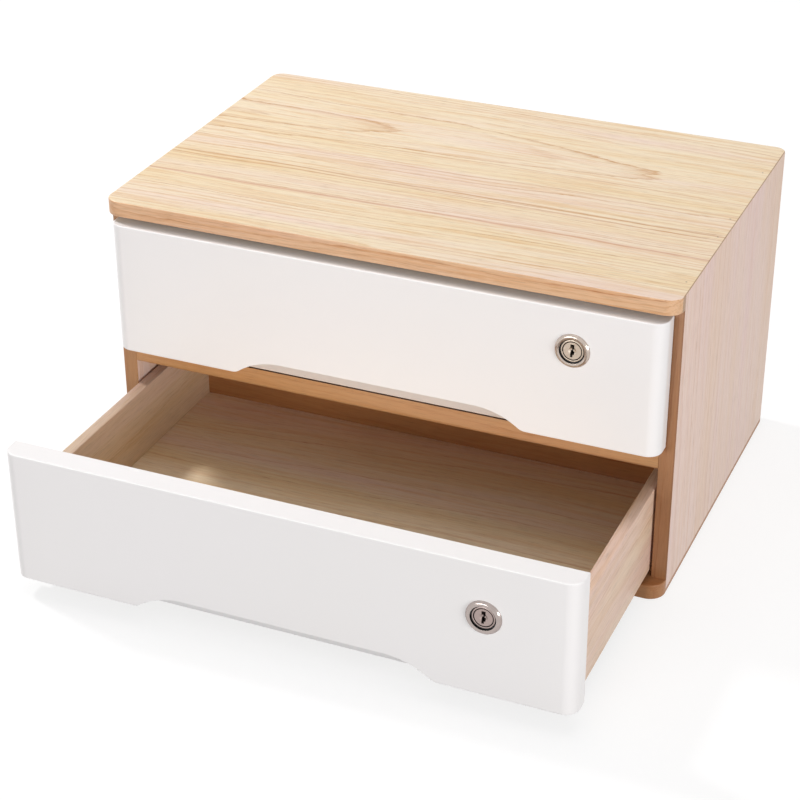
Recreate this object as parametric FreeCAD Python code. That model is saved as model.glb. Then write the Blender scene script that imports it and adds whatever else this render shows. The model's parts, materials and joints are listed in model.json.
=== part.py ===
"""Two-drawer desktop file cabinet in light wood with lacquered overlay fronts and drawer locks.

Frame, in millimetres: X to the right, Y from the front to the rear, Z up. The origin is the middle of
the carcass's footprint, on the surface that the cabinet stands on. The lower drawer is modelled open.
"""
import FreeCAD, Part
import math
import os

Vec = FreeCAD.Vector

# ---- Carcass ------------------------------------------------------------------------------------
width = 380.0            # over the side panels
depth = 240.0            # side panel's front edge to the rear
height = 207.0           # bottom board's underside to the top face
board = 10.0             # thickness of the four carcass boards
overhang = 11.0          # top and bottom boards ahead of the side panels
overhang_radius = 10.5   # plan radius of the boards' front corners
rear_radius = 8.0        # rounding of the two rear upright corners
bottom_toe = 3.0         # square toe of the bottom board under its mitre

back_thick = 6.0         # rear panel
back_inset = 3.0         # rear panel in from the carcass's rear
housing = 3.0            # depth of the grooves that hold the rear panel and the divider
groove_play = 0.1        # each side of a panel in its groove
groove_gap = 0.2         # between a panel's edge and the bottom of its groove

rail_height = 18.0       # divider's front rail
rail_depth = 12.0
rail_round = 3.0         # rounding of the rail's lower front edge
rail_rabbet = 4.0        # ledge behind the rail that carries the divider
shelf_thick = 8.0        # divider

strip_height = 3.0       # slide strips under the lower drawer
strip_width = 12.0
strip_end_gap = 6.0      # from a strip's end to the carcass's front edge and rear panel

# ---- Drawer boxes ---------------------------------------------------------------------------------
front_thick = 15.5
front_margin_side = 6.0  # from a front's end to the carcass's outer side
front_margin_top = 3.8   # from the upper front to the top board
front_gap = 3.0          # between the two fronts
front_radius = 9.0       # plan radius of a front's two upright outer edges
front_easing = 0.6       # flat easing of a front's top and bottom outer edges
front_below_box = 1.1    # a front's lower edge under its box
closed_gap = 0.5         # between a closed front and the carcass's front edges

box_headroom = 14.2      # over the lower box, under the rail
box_play_side = 1.5      # each side of the box in its bay
box_play_under = 0.3     # under the box
box_play_rear = 4.0      # behind a closed box
side_thick = 7.5
floor_thick = 4.0
floor_raise = 8.0        # underside of the floor over the box's lower edge
floor_housing = 4.0      # depth of the floor's grooves

dowel_dia = 4.0
dowel_length = 22.0
dowel_height = 34.0      # dowel over the box's lower edge
glue_gap = 0.05          # round a dowel or a screw in its hole

lower_open = 140.0       # how far the lower drawer stands open here

# ---- Finger notch in a front's lower edge ------------------------------------------------------
notch_half = 97.5        # from the middle to where the end curve meets the lower edge
notch_rise = 11.5        # height of the notch on the face
notch_depth = 11.0       # how far the bevel reaches under the front
notch_end_radius = 50.0  # curve at either end
notch_toe_radius = 8.0   # rounding between the curve and the lower edge

# ---- Drawer locks -----------------------------------------------------------------------------
lock_inset = 62.0        # locks' axis from the carcass's right side
upper_lock_drop = 27.0   # lock's axis under the upper front's top edge
lower_lock_drop = 35.0   # lock's axis under the lower front's top edge

ring_dia = 22.0          # escutcheon
ring_crown_dia = 19.4    # its highest circle
ring_bore_dia = 15.5
ring_edge = 0.7          # height of its outer edge over the face
ring_proud = 1.8         # height of its crown
ring_lip = 1.1           # height of its inner edge, below the crown's cone
barrel_dia = 18.0
barrel_play = 0.1        # round the barrel in the front
plug_dia = 12.0
plug_running_gap = 0.05  # radial, between the plug and its bore
plug_head_gap = 0.3      # radial, round the plug's head
plug_head_thick = 1.4
plug_proud = 0.7         # plug's face over the drawer's face
plug_rim = 1.5           # width of the rim round the plug's face
plug_recess = 0.3        # face inside the rim, below the rim
keyway_height = 8.4
keyway_width = 2.1
keyway_depth = 7.0
dimple_dia = 5.0         # countersink round the middle of the keyway
dimple_depth = 0.8

case_width = 40.0
case_down = 19.0         # case under the lock's axis
case_up = 19.4           # case over the lock's axis
case_wall = 4.0          # case between the front and the bolt
case_corner = 2.5        # bevel of the case's corners
cover_thick = 1.0
bolt_width = 16.0
bolt_thick = 4.5
bolt_play = 0.2          # each side of the bolt in its channel
bolt_down = 9.0          # bolt under the lock's axis
bolt_tip_gap = 1.0       # between a withdrawn bolt and the board above it
crank_throw = 3.0        # eccentricity of the plug's pin: a half turn lifts the bolt by twice this
crank_pin_dia = 3.0
crank_slot_play = 0.85   # over and under the pin in the bolt's cross slot
crank_slot_end = 0.3     # beyond the pin at either end of the cross slot
mortise_play = 0.6       # round the bolt in its mortise
screw_x = 14.5           # case's fixing screws from the lock's axis
screw_z = 6.0            # and under it
screw_dia = 2.8
screw_length = 20.0
screw_head_dia = 5.6
screw_head_thick = 1.6

# ---- Levels and places that follow --------------------------------------------------------------
half_width = width / 2
half_inside = half_width - board
front_y = -depth / 2                     # side panels' front edges
rear_y = depth / 2
back_front_y = rear_y - back_inset - back_thick
under_top = height - board

face_back_y = front_y - closed_gap       # rear face of a closed front
face_y = face_back_y - front_thick       # outer face of a closed front
box_half = half_inside - box_play_side
box_inner_half = box_half - side_thick
box_rear_y = back_front_y - box_play_rear

lower_box_z = board + strip_height + box_play_under
lower_front_z = lower_box_z - front_below_box
front_height = (under_top - front_margin_top - front_gap - lower_front_z) / 2
upper_box_z = lower_front_z + front_height + front_gap + front_below_box
shelf_top = upper_box_z - box_play_under
under_shelf = shelf_top - shelf_thick
under_rail = shelf_top - rail_height
box_height = under_rail - box_headroom - lower_box_z

lock_x = half_width - lock_inset
bolt_y = face_back_y + case_wall + bolt_play
case_depth = case_wall + bolt_thick + 2 * bolt_play
bolt_throw = 2 * crank_throw
mortise_depth = bolt_throw - bolt_tip_gap + mortise_play


def box(x0, x1, y0, y1, z0, z1):
    return Part.makeBox(x1 - x0, y1 - y0, z1 - z0, Vec(x0, y0, z0))


def rod_y(radius, y0, y1, x, z):
    """Cylinder along Y."""
    return Part.makeCylinder(radius, y1 - y0, Vec(x, y0, z), Vec(0, 1, 0))


def prism(points, sweep):
    """Solid swept from a closed outline of straight edges."""
    corners = [Vec(*p) for p in points]
    return Part.Face(Part.makePolygon(corners + corners[:1])).extrude(Vec(*sweep))


def upright_edges(solid, picks, tolerance=1e-3):
    """Edges parallel to Z that stand at one of the given plan positions."""
    found = []
    for edge in solid.Edges:
        start, end = edge.Vertexes[0].Point, edge.Vertexes[-1].Point
        if abs(start.x - end.x) + abs(start.y - end.y) > tolerance:
            continue
        if any(abs(start.x - x) + abs(start.y - y) < tolerance for x, y in picks):
            found.append(edge)
    return found


def level_edges(solid, y, z, tolerance=1e-3):
    """Edges parallel to X on the line at y, z."""
    found = []
    for edge in solid.Edges:
        ends = [v.Point for v in edge.Vertexes]
        if all(abs(p.y - y) + abs(p.z - z) < tolerance for p in ends) and len(ends) == 2:
            found.append(edge)
    return found


def rim_edges(solid, levels, back_y, tolerance=1e-3):
    """Edges that lie at one of the given heights, but for those on the plane y = back_y."""
    found = []
    for edge in solid.Edges:
        extent = edge.BoundBox
        at_level = any(abs(extent.ZMin - z) + abs(extent.ZMax - z) < tolerance for z in levels)
        if at_level and extent.YMin < back_y - tolerance:
            found.append(edge)
    return found


def moved(solid, y=0.0):
    return solid.translated(Vec(0, y, 0))


# ---- Carcass boards --------------------------------------------------------------------------------
def capped_board(z0):
    """Board with the carcass's full plan: rounded front overhang, rounded rear corners."""
    blank = box(-half_width, half_width, front_y - overhang, rear_y, z0, z0 + board)
    fronts = [(side * half_width, front_y - overhang) for side in (-1, 1)]
    rears = [(side * half_width, rear_y) for side in (-1, 1)]
    blank = blank.makeFillet(overhang_radius, upright_edges(blank, fronts))
    return blank.makeFillet(rear_radius, upright_edges(blank, rears))


def back_groove():
    """Groove round the carcass that the rear panel stands in."""
    return box(-half_inside - housing, half_inside + housing,
               back_front_y - groove_play, back_front_y + back_thick + groove_play,
               board - housing, under_top + housing)


def mortise(z0):
    """Pocket over the closed drawer's bolt, cut up from the height z0."""
    return box(lock_x - bolt_width / 2 - mortise_play, lock_x + bolt_width / 2 + mortise_play,
               bolt_y - mortise_play, bolt_y + bolt_thick + mortise_play, z0, z0 + mortise_depth)


def top_panel():
    solid = capped_board(under_top)
    for side in (-1, 1):
        outer = side * half_width
        inner = side * half_inside
        wedge = [(outer, front_y, height), (inner, front_y, under_top), (outer, front_y, under_top)]
        solid = solid.cut(prism(wedge, (0, depth, 0)))
    return solid.cut(back_groove()).cut(mortise(under_top))


def bottom_panel():
    solid = capped_board(0.0)
    for side in (-1, 1):
        outer = side * half_width
        inner = side * (half_width - (board - bottom_toe))
        wedge = [(outer, front_y, bottom_toe), (inner, front_y, board), (outer, front_y, board)]
        solid = solid.cut(prism(wedge, (0, depth, 0)))
    return solid.cut(back_groove())


def side_panel(side):
    """Upright board, mitred into the top board and into the bottom board above its toe."""
    outer = side * half_width
    inner = side * half_inside
    shoulder = side * (half_width - (board - bottom_toe))
    outline = [(outer, front_y, bottom_toe), (outer, front_y, height), (inner, front_y, under_top),
               (inner, front_y, board), (shoulder, front_y, board)]
    solid = prism(outline, (0, depth, 0))
    solid = solid.makeFillet(rear_radius, upright_edges(solid, [(outer, rear_y)]))
    x0, x1 = sorted((inner, inner + side * housing))
    shelf_housing = box(x0, x1, front_y + rail_depth - rail_rabbet, back_front_y,
                        under_shelf - groove_play, shelf_top + groove_play)
    return solid.cut(back_groove()).cut(shelf_housing)


def back_panel():
    reach = housing - groove_gap
    return box(-half_inside - reach, half_inside + reach, back_front_y, back_front_y + back_thick,
               board - reach, under_top + reach)


def divider_rail():
    rail_back_y = front_y + rail_depth
    solid = box(-half_inside, half_inside, front_y, rail_back_y, under_rail, shelf_top)
    solid = solid.makeFillet(rail_round, level_edges(solid, front_y, under_rail))
    ledge = box(-half_inside, half_inside, rail_back_y - rail_rabbet, rail_back_y, under_shelf, shelf_top)
    return solid.cut(ledge).cut(mortise(under_rail))


def divider_shelf():
    """Board that the upper drawer slides on, let into the sides and onto the rail's ledge."""
    ledge_y = front_y + rail_depth - rail_rabbet
    reach = housing - groove_gap
    return box(-half_inside - reach, half_inside + reach, ledge_y, back_front_y, under_shelf, shelf_top)


def runner_strips():
    """Two strips on the bottom board, under the lower drawer's sides."""
    strips = []
    for side in (-1, 1):
        x0, x1 = sorted((side * box_half, side * (box_half - strip_width)))
        strips.append(box(x0, x1, front_y + strip_end_gap, back_front_y - strip_end_gap,
                          board, board + strip_height))
    return Part.makeCompound(strips)


# ---- Drawer box ------------------------------------------------------------------------------------
def notch_cutter(z0):
    """Bevelled finger notch: a flat-topped outline with curved ends, under a sloping plane."""
    crown = z0 + notch_rise
    centre_z = crown - notch_end_radius
    half_flat = notch_half - math.sqrt(notch_end_radius ** 2 - (notch_end_radius - notch_rise) ** 2)
    toe_z = z0 + notch_toe_radius
    reach = notch_end_radius + notch_toe_radius
    toe_run = math.sqrt(reach ** 2 - (toe_z - centre_z) ** 2)
    share = notch_end_radius / reach
    meet = (toe_run * share, centre_z + (toe_z - centre_z) * share)
    toe_angle = math.atan2(centre_z - toe_z, -toe_run)
    toe_mid_angle = (toe_angle - math.pi / 2) / 2

    def at(side, x, z):
        return Vec(side * x, face_y, z)

    def end_curves(side):
        low = at(side, half_flat + toe_run, z0)
        toe_mid = at(side, half_flat + toe_run + notch_toe_radius * math.cos(toe_mid_angle),
                     toe_z + notch_toe_radius * math.sin(toe_mid_angle))
        join = at(side, half_flat + meet[0], meet[1])
        bend = math.atan2(meet[0], meet[1] - centre_z) / 2
        curve_mid = at(side, half_flat + notch_end_radius * math.sin(bend),
                       centre_z + notch_end_radius * math.cos(bend))
        top = at(side, half_flat, crown)
        return low, Part.Arc(low, toe_mid, join).toShape(), Part.Arc(join, curve_mid, top).toShape(), top

    left_low, left_toe, left_curve, left_top = end_curves(-1)
    right_low, right_toe, right_curve, right_top = end_curves(1)
    edges = [left_toe, left_curve, Part.makeLine(left_top, right_top), right_curve, right_toe,
             Part.makeLine(right_low, left_low)]
    outline = Part.Face(Part.Wire(Part.__sortEdges__(edges)))
    slot = outline.extrude(Vec(0, front_thick, 0))
    reach_x = notch_half + notch_toe_radius
    bevel = [(-reach_x, face_y, z0), (-reach_x, face_y, crown), (-reach_x, face_y + notch_depth, z0)]
    return slot.common(prism(bevel, (2 * reach_x, 0, 0)))


def dowel_places(box_z):
    return [(side * (box_half - side_thick / 2), box_z + dowel_height) for side in (-1, 1)]


def floor_groove(box_z, x0, x1, y0, y1):
    low = box_z + floor_raise
    return box(x0, x1, y0, y1, low, low + floor_thick + groove_play)


def drawer_front(box_z, lock_z):
    z0 = box_z - front_below_box
    half = half_width - front_margin_side
    solid = box(-half, half, face_y, face_back_y, z0, z0 + front_height)
    solid = solid.makeFillet(front_radius, upright_edges(solid, [(-half, face_y), (half, face_y)]))
    solid = solid.makeChamfer(front_easing, rim_edges(solid, (z0, z0 + front_height), face_back_y))
    solid = solid.cut(notch_cutter(z0))
    solid = solid.cut(rod_y(barrel_dia / 2 + barrel_play, face_y, face_back_y, lock_x, lock_z))
    for x, z in screw_places(lock_z):
        solid = solid.cut(rod_y(screw_dia / 2 + glue_gap, screw_tip_y() - glue_gap, face_back_y, x, z))
    for x, z in dowel_places(box_z):
        start = face_back_y - dowel_length / 2 - glue_gap
        solid = solid.cut(rod_y(dowel_dia / 2 + glue_gap, start, face_back_y, x, z))
    reach = box_inner_half + floor_housing
    return solid.cut(floor_groove(box_z, -reach, reach, face_back_y - floor_housing, face_back_y))


def drawer_side(box_z, side):
    x0, x1 = sorted((side * box_inner_half, side * box_half))
    solid = box(x0, x1, face_back_y, box_rear_y, box_z, box_z + box_height)
    x0, x1 = sorted((side * box_inner_half, side * (box_inner_half + floor_housing)))
    groove_end = box_rear_y - side_thick + floor_housing
    solid = solid.cut(floor_groove(box_z, x0, x1, face_back_y, groove_end))
    for x, z in dowel_places(box_z):
        if x * side > 0:
            end = face_back_y + dowel_length / 2 + glue_gap
            solid = solid.cut(rod_y(dowel_dia / 2 + glue_gap, face_back_y, end, x, z))
    return solid


def drawer_back(box_z):
    front = box_rear_y - side_thick
    solid = box(-box_inner_half, box_inner_half, front, box_rear_y, box_z, box_z + box_height)
    return solid.cut(floor_groove(box_z, -box_inner_half, box_inner_half, front, front + floor_housing))


def drawer_floor(box_z):
    reach = floor_housing - groove_gap
    low = box_z + floor_raise
    return box(-box_inner_half - reach, box_inner_half + reach, face_back_y - reach,
               box_rear_y - side_thick + reach, low, low + floor_thick)


def drawer_dowels(box_z):
    rods = []
    for x, z in dowel_places(box_z):
        rods.append(rod_y(dowel_dia / 2, face_back_y - dowel_length / 2, face_back_y + dowel_length / 2, x, z))
    return Part.makeCompound(rods)


# ---- Drawer lock -----------------------------------------------------------------------------------
def screw_places(lock_z):
    return [(lock_x + side * screw_x, lock_z - screw_z) for side in (-1, 1)]


def screw_tip_y():
    return face_back_y + case_depth + cover_thick - screw_length


def lock_ring(lock_z):
    """Escutcheon: a nickel ring seated on the face round the plug, with its crown near the outside."""
    outer = ring_dia / 2
    crown = ring_crown_dia / 2
    inner = ring_bore_dia / 2
    outline = [(outer, 0), (outer, -ring_edge), (crown, -ring_proud), (inner, -ring_lip), (inner, 0)]
    corners = [Vec(r, y, 0) for r, y in outline]
    ring = Part.Face(Part.makePolygon(corners + corners[:1])).revolve(Vec(0, 0, 0), Vec(0, 1, 0), 360)
    return ring.translated(Vec(lock_x, face_y, lock_z))


def plug_face_y():
    return face_y - plug_proud


def lock_plug(lock_z):
    """Plug with its rimmed head, keyway and the eccentric pin that works the bolt."""
    head_radius = ring_bore_dia / 2 - plug_head_gap
    front = plug_face_y()
    shank_end = bolt_y - bolt_play
    solid = rod_y(head_radius, front, front + plug_head_thick, lock_x, lock_z)
    solid = solid.fuse(rod_y(plug_dia / 2, front, shank_end, lock_x, lock_z))
    solid = solid.cut(rod_y(head_radius - plug_rim, front, front + plug_recess, lock_x, lock_z))
    dimple = Part.makeCone(dimple_dia / 2, dimple_dia / 4, dimple_depth,
                           Vec(lock_x, front + plug_recess, lock_z), Vec(0, 1, 0))
    solid = solid.cut(dimple)
    solid = solid.cut(box(lock_x - keyway_width / 2, lock_x + keyway_width / 2, front, front + keyway_depth,
                          lock_z - keyway_height / 2, lock_z + keyway_height / 2))
    pin = rod_y(crank_pin_dia / 2, shank_end, bolt_y + bolt_thick - bolt_play, lock_x, lock_z - crank_throw)
    return solid.fuse(pin).removeSplitter()


def case_outline(y0, y1, lock_z):
    solid = box(lock_x - case_width / 2, lock_x + case_width / 2, y0, y1,
                lock_z - case_down, lock_z + case_up)
    rims = [e for e in solid.Edges if abs(e.Vertexes[0].Y - e.Vertexes[-1].Y) > (y1 - y0) / 2]
    return solid.makeChamfer(case_corner, rims)


def lock_case(lock_z):
    """Cast body: barrel through the front, and the channel that guides the bolt behind it."""
    channel_front = bolt_y - bolt_play
    case_rear = face_back_y + case_depth
    solid = rod_y(barrel_dia / 2, face_y, face_back_y, lock_x, lock_z)
    solid = solid.fuse(case_outline(face_back_y, case_rear, lock_z))
    solid = solid.cut(rod_y(plug_dia / 2 + plug_running_gap, face_y, channel_front, lock_x, lock_z))
    seat = plug_face_y() + plug_head_thick + bolt_play
    solid = solid.cut(rod_y(ring_bore_dia / 2, face_y, seat, lock_x, lock_z))
    half = bolt_width / 2 + bolt_play
    solid = solid.cut(box(lock_x - half, lock_x + half, channel_front, case_rear,
                          lock_z - bolt_down - bolt_play, lock_z + case_up))
    for x, z in screw_places(lock_z):
        solid = solid.cut(rod_y(screw_dia / 2 + groove_play, face_back_y, case_rear, x, z))
    return solid


def lock_cover(lock_z):
    """Pressed plate that closes the bolt's channel."""
    front = face_back_y + case_depth
    solid = case_outline(front, front + cover_thick, lock_z)
    for x, z in screw_places(lock_z):
        solid = solid.cut(rod_y(screw_dia / 2 + groove_play, front, front + cover_thick, x, z))
    return solid


def lock_screws(lock_z):
    """Two screws through the cover and the case into the front."""
    head_y = face_back_y + case_depth + cover_thick
    screws = []
    for x, z in screw_places(lock_z):
        shank = rod_y(screw_dia / 2, screw_tip_y(), head_y, x, z)
        screws.append(shank.fuse(rod_y(screw_head_dia / 2, head_y, head_y + screw_head_thick, x, z)))
    return Part.makeCompound(screws)


def lock_bolt(lock_z, strike_z):
    """Tongue with a cross slot: the plug's pin lifts it into the mortise over the drawer."""
    tip = strike_z - bolt_tip_gap
    half = bolt_width / 2
    solid = box(lock_x - half, lock_x + half, bolt_y, bolt_y + bolt_thick, lock_z - bolt_down, tip)
    slot_half = crank_pin_dia / 2 + crank_throw + crank_slot_end
    slot_rise = crank_pin_dia / 2 + crank_slot_play
    pin_z = lock_z - crank_throw
    return solid.cut(box(lock_x - slot_half, lock_x + slot_half, bolt_y, bolt_y + bolt_thick,
                         pin_z - slot_rise, pin_z + slot_rise))


# ---- Assembly --------------------------------------------------------------------------------------
def drawer_nodes(name, box_z, lock_drop, strike_z):
    """Every piece of one closed drawer, by node name."""
    lock_z = box_z - front_below_box + front_height - lock_drop
    return {
        name + "_drawer_front": drawer_front(box_z, lock_z),
        name + "_drawer_left_side": drawer_side(box_z, -1),
        name + "_drawer_right_side": drawer_side(box_z, 1),
        name + "_drawer_back": drawer_back(box_z),
        name + "_drawer_floor": drawer_floor(box_z),
        name + "_drawer_dowels": drawer_dowels(box_z),
        name + "_lock_escutcheon": lock_ring(lock_z),
        name + "_lock_case": lock_case(lock_z),
        name + "_lock_cover": lock_cover(lock_z),
        name + "_lock_screws": lock_screws(lock_z),
        name + "_lock_plug": lock_plug(lock_z),
        name + "_lock_bolt": lock_bolt(lock_z, strike_z),
    }


def cabinet_nodes():
    return {
        "top_panel": top_panel(),
        "bottom_panel": bottom_panel(),
        "left_side_panel": side_panel(-1),
        "right_side_panel": side_panel(1),
        "back_panel": back_panel(),
        "divider_rail": divider_rail(),
        "divider_shelf": divider_shelf(),
        "runner_strips": runner_strips(),
    }


def main():
    os.makedirs("parts", exist_ok=True)
    nodes = cabinet_nodes()
    nodes.update(drawer_nodes("upper", upper_box_z, upper_lock_drop, under_top))
    for name, solid in drawer_nodes("lower", lower_box_z, lower_lock_drop, under_rail).items():
        nodes[name] = moved(solid, y=-lower_open)
    for name, shape in nodes.items():
        shape.exportStep("parts/" + name + ".step")


main()
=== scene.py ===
import json
import math

import bmesh
import bpy
import numpy as np
from mathutils import Matrix, Vector


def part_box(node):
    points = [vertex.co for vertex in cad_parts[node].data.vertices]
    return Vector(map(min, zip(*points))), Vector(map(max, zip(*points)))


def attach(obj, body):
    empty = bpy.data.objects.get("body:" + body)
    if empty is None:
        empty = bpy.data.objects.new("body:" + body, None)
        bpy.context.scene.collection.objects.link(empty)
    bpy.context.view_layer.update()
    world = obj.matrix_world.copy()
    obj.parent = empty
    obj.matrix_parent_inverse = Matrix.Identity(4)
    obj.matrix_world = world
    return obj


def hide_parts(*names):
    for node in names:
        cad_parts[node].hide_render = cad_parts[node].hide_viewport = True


bl_info = {
    "name": "Desktop file cabinet",
    "version": (1, 0, 0),
    "blender": (4, 5, 0),
    "location": "View3D > Sidebar > Cabinet",
    "description": "Dresses a two-drawer desktop file cabinet: boards, fronts, drawer boxes, locks and stage",
    "category": "Object",
}

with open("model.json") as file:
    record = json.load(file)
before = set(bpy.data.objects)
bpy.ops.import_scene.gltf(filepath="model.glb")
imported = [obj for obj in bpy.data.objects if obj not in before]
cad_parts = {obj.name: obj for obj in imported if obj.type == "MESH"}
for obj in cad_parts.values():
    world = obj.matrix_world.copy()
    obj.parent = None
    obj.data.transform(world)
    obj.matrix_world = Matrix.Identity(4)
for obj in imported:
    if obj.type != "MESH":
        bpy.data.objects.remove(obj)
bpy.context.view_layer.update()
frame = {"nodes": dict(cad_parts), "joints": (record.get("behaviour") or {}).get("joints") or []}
DRAWERS = ("upper", "lower")
JOINTS = {joint["name"]: joint for joint in frame["joints"]}

# mesh tolerances, in metres
MERGE = 2e-6  # points closer than this are one
DEGENERATE = 1e-6  # edges shorter than this are dissolved
SHARP = 1e-5  # radius of a corner that stays sharp
NEAR = 1e-4  # reach within which a point counts as on an edge
# edges sharper than this stay creased, in degrees
BOARD_CREASE, TURNED_CREASE, FRONT_CREASE = 35.0, 32.0, 28.0
FORWARD = -0.3  # a face whose normal's y is under this looks forward

# lock, in metres: radii round its axis and depths behind the face of the plug or the drawer front
# faces between the radii below, and the keyway's walls, take the dark metal: painted shade in the lock's
# hollows
BORE_FACES = (0.0, 0.00795)  # radii of the escutcheon's bore
GROOVE_FACES = (0.00562, 0.00618)  # radii of the fine groove in the plug's head
GAP_FACES = (0.00715, 0.008)  # radii of the gap round the plug's head
KEYWAY_REACH = 0.0048  # radius that holds the whole keyway
KEYWAY_TOP = 0.0012  # depth at which the keyway's walls, painted dark as shade, start
KEYWAY_DEPTH = 0.007
KEYWAY_HALF_WIDTH, KEYWAY_HALF_HEIGHT = 0.00125, 0.0042
SHANK_RADIUS = 0.006
CRANK_LENGTH = 0.0043  # pin on the plug's rear end
CRANK_RADIUS = 0.0015
CRANK_THROW = 0.003
CRANK_BEVEL = 0.0003

# stage, in metres and watts
FLOOR_REACH, FLOOR_DROP = 6.0, 0.0002
FLOOR_LIFT = 0.78  # glow of the floor where it is seen directly or in a reflection
ROOM_LIGHT = 0.35  # strength of the world where it lights the cabinet
LAMPS = (("key", (-1.72, 0.25, 1.87), (0.0, -0.1, 0.1), (0.3, 0.3), 29.0),
         ("top", (0.1, 0.35, 2.4), (0.0, -0.1, 0.1), (1.6, 1.6), 12.5),
         ("front", (-1.7, -4.9, 0.9), (0.0, -0.1, 0.12), (2.6, 1.2), 99.0),
         ("right", (2.3, -1.2, 0.34), (0.1, 0.0, 0.1), (1.2, 0.4), 32.0))
CAMERA_LENS, CAMERA_SENSOR, CAMERA_FAR = 92.74, 36.0, 50.0
CAMERA_PLACE, CAMERA_AIM = (0.45957, -1.16142, 0.73415), (0.01041, -0.12, 0.09918)
CAMERA_ROLL = -0.257  # degrees


# ---- Settings ----
def length(name, description, default):
    """A size in metres."""
    return bpy.props.FloatProperty(name=name, description=description, default=default, min=0.0,
                                   unit="LENGTH", precision=5)


def colour(name, description, default):
    """An sRGB colour written as hex."""
    return bpy.props.StringProperty(name=name, description=description, default=default, maxlen=7)


class CabinetSizes(bpy.types.PropertyGroup):
    """Sizes of the visible forms that the frame's boxes don't give."""
    board_corner: length("Board corner", "Plan radius of the top and bottom boards' front corners", 0.0105)
    rear_corner: length("Rear corner", "Rounding of the carcass's upright rear corners", 0.008)
    arris: length("Board arris", "Rounding of the boards' sanded edges", 0.0006)
    toe: length("Bottom toe", "Square toe of the bottom board under its mitre", 0.003)
    rail_round: length("Rail rounding", "Rounding of the rail's lower front edge", 0.003)
    rail_rabbet: length("Rail rabbet", "Ledge behind the rail, across its depth", 0.004)
    rail_ledge: length("Rail ledge", "Height of the rail's ledge", 0.008)
    rail_step: length("Rail step", "Depth of the gap behind the upper front", 0.002)
    rail_gap: length("Rail gap", "Start of the gap under the upper front's lower edge", 0.004)
    mortise_play: length("Mortise play", "Room round a bolt in its mortise", 0.0006)
    front_corner: length("Front corner", "Plan radius of the drawer fronts' upright edges", 0.009)
    front_arris: length("Front arris", "Rounding of the drawer fronts' lacquered edges", 0.0007)
    notch_half: length("Notch half width", "From the middle to where the end curve meets the edge", 0.0975)
    notch_rise: length("Notch rise", "Height of the finger notch on the face", 0.0115)
    notch_depth: length("Notch depth", "How far the notch's bevel reaches under the front", 0.011)
    notch_end: length("Notch end radius", "Curve at either end of the notch", 0.050)
    notch_toe: length("Notch toe radius", "Rounding between the end curve and the edge", 0.008)
    floor_raise: length("Floor height", "Underside of the drawer floor over the box's lower edge", 0.008)
    floor_thick: length("Floor groove", "Height of the floor's groove", 0.0041)
    floor_housing: length("Groove depth", "Depth of the floor's groove", 0.004)
    box_back: length("Box back", "Thickness of the drawer box's back", 0.0075)
    barrel: length("Barrel bore", "Radius of the bore round the lock's barrel", 0.0091)


class CabinetColours(bpy.types.PropertyGroup):
    """Colours of the finishes."""
    pale: colour("Pale wood", "Sapwood between the growth rings", "#F6E2C4")
    honey: colour("Honey wood", "Warmer bands across a board", "#F2D9AE")
    blush: colour("Blush wood", "Pinkish bands across a board", "#F3D9C7")
    ring: colour("Growth ring", "Latewood lines", "#C58843")
    honey_line: colour("Honey lines", "Thin yellow lines between the growth rings", "#E4B87E")
    pin_hole: colour("Pin hole", "Filled pin holes in the top board", "#6B4A33")
    glue: colour("Glue line", "Mitre joint seen from above", "#9A7250")
    glue_edge: colour("Glue line on the edge", "Joint at a side panel's front edge", "#8A5E3C")
    lacquer: colour("White lacquer", "Drawer fronts", "#F6F3F3")
    lacquer_cloud: colour("Clouded lacquer", "Duller patches of the lacquer", "#F5F2F1")
    nickel: colour("Nickel", "Upper lock's escutcheon", "#C6B8AD")
    satin: colour("Satin nickel", "Upper lock's plug", "#CFC1B2")
    # the lower lock's two tones are the upper lock's nickels made darker: painted shade, as that lock lies in
    # shade
    nickel_painted_shade: colour("Lower nickel", "Lower lock's escutcheon, duller", "#B5A9A4")
    satin_painted_shade: colour("Lower satin nickel", "Lower lock's plug, duller", "#A99893")
    zinc: colour("Zinc", "Lock case and bolt", "#8C8C8E")
    steel: colour("Plated steel", "Lock's cover, screws and bolt", "#B4B5B6")
    # the dark metal is painted shade in the lock's bore, the gap round the plug, its groove and the keyway
    dark: colour("Dark metal", "Keyway, groove and gap", "#2A2725")
    backdrop: colour("Backdrop", "Floor and background", "#FFFFFF")
    paper: colour("Paper", "Floor's own colour, which takes the shadow", "#8E8D8D")


# ---- Colours and nodes ----
def linear(hex_code, alpha=1.0):
    """sRGB hex to linear RGBA: x/12.92 below 0.04045, else ((x + 0.055)/1.055)^2.4."""
    srgb = np.array([int(hex_code[i:i + 2], 16) for i in (1, 3, 5)]) / 255.0
    low = srgb / 12.92
    high = ((srgb + 0.055) / 1.055) ** 2.4
    return (*np.where(srgb <= 0.04045, low, high).tolist(), alpha)


def add(tree, kind, links=None, **settings):
    """Adds one node. settings are its properties, and links maps an input to a value or to a socket."""
    node = tree.nodes.new(kind)
    for key, value in settings.items():
        setattr(node, key, value)
    for key, value in (links or {}).items():
        if isinstance(value, bpy.types.NodeSocket):
            tree.links.new(value, node.inputs[key])
        else:
            node.inputs[key].default_value = value
    return node


def new_material(name):
    """An empty node material with its output."""
    material = bpy.data.materials.new(name)
    material.use_nodes = True
    material.node_tree.nodes.clear()
    return material, material.node_tree


def ramp(tree, factor, stops):
    """A colour ramp with (position, grey or RGBA) stops."""
    node = add(tree, "ShaderNodeValToRGB", {"Fac": factor})
    while len(node.color_ramp.elements) < len(stops):
        node.color_ramp.elements.new(0.5)
    for element, (position, value) in zip(node.color_ramp.elements, stops):
        element.position = position
        element.color = value if isinstance(value, tuple) else (value, value, value, 1.0)
    return node.outputs["Color"]


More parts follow.
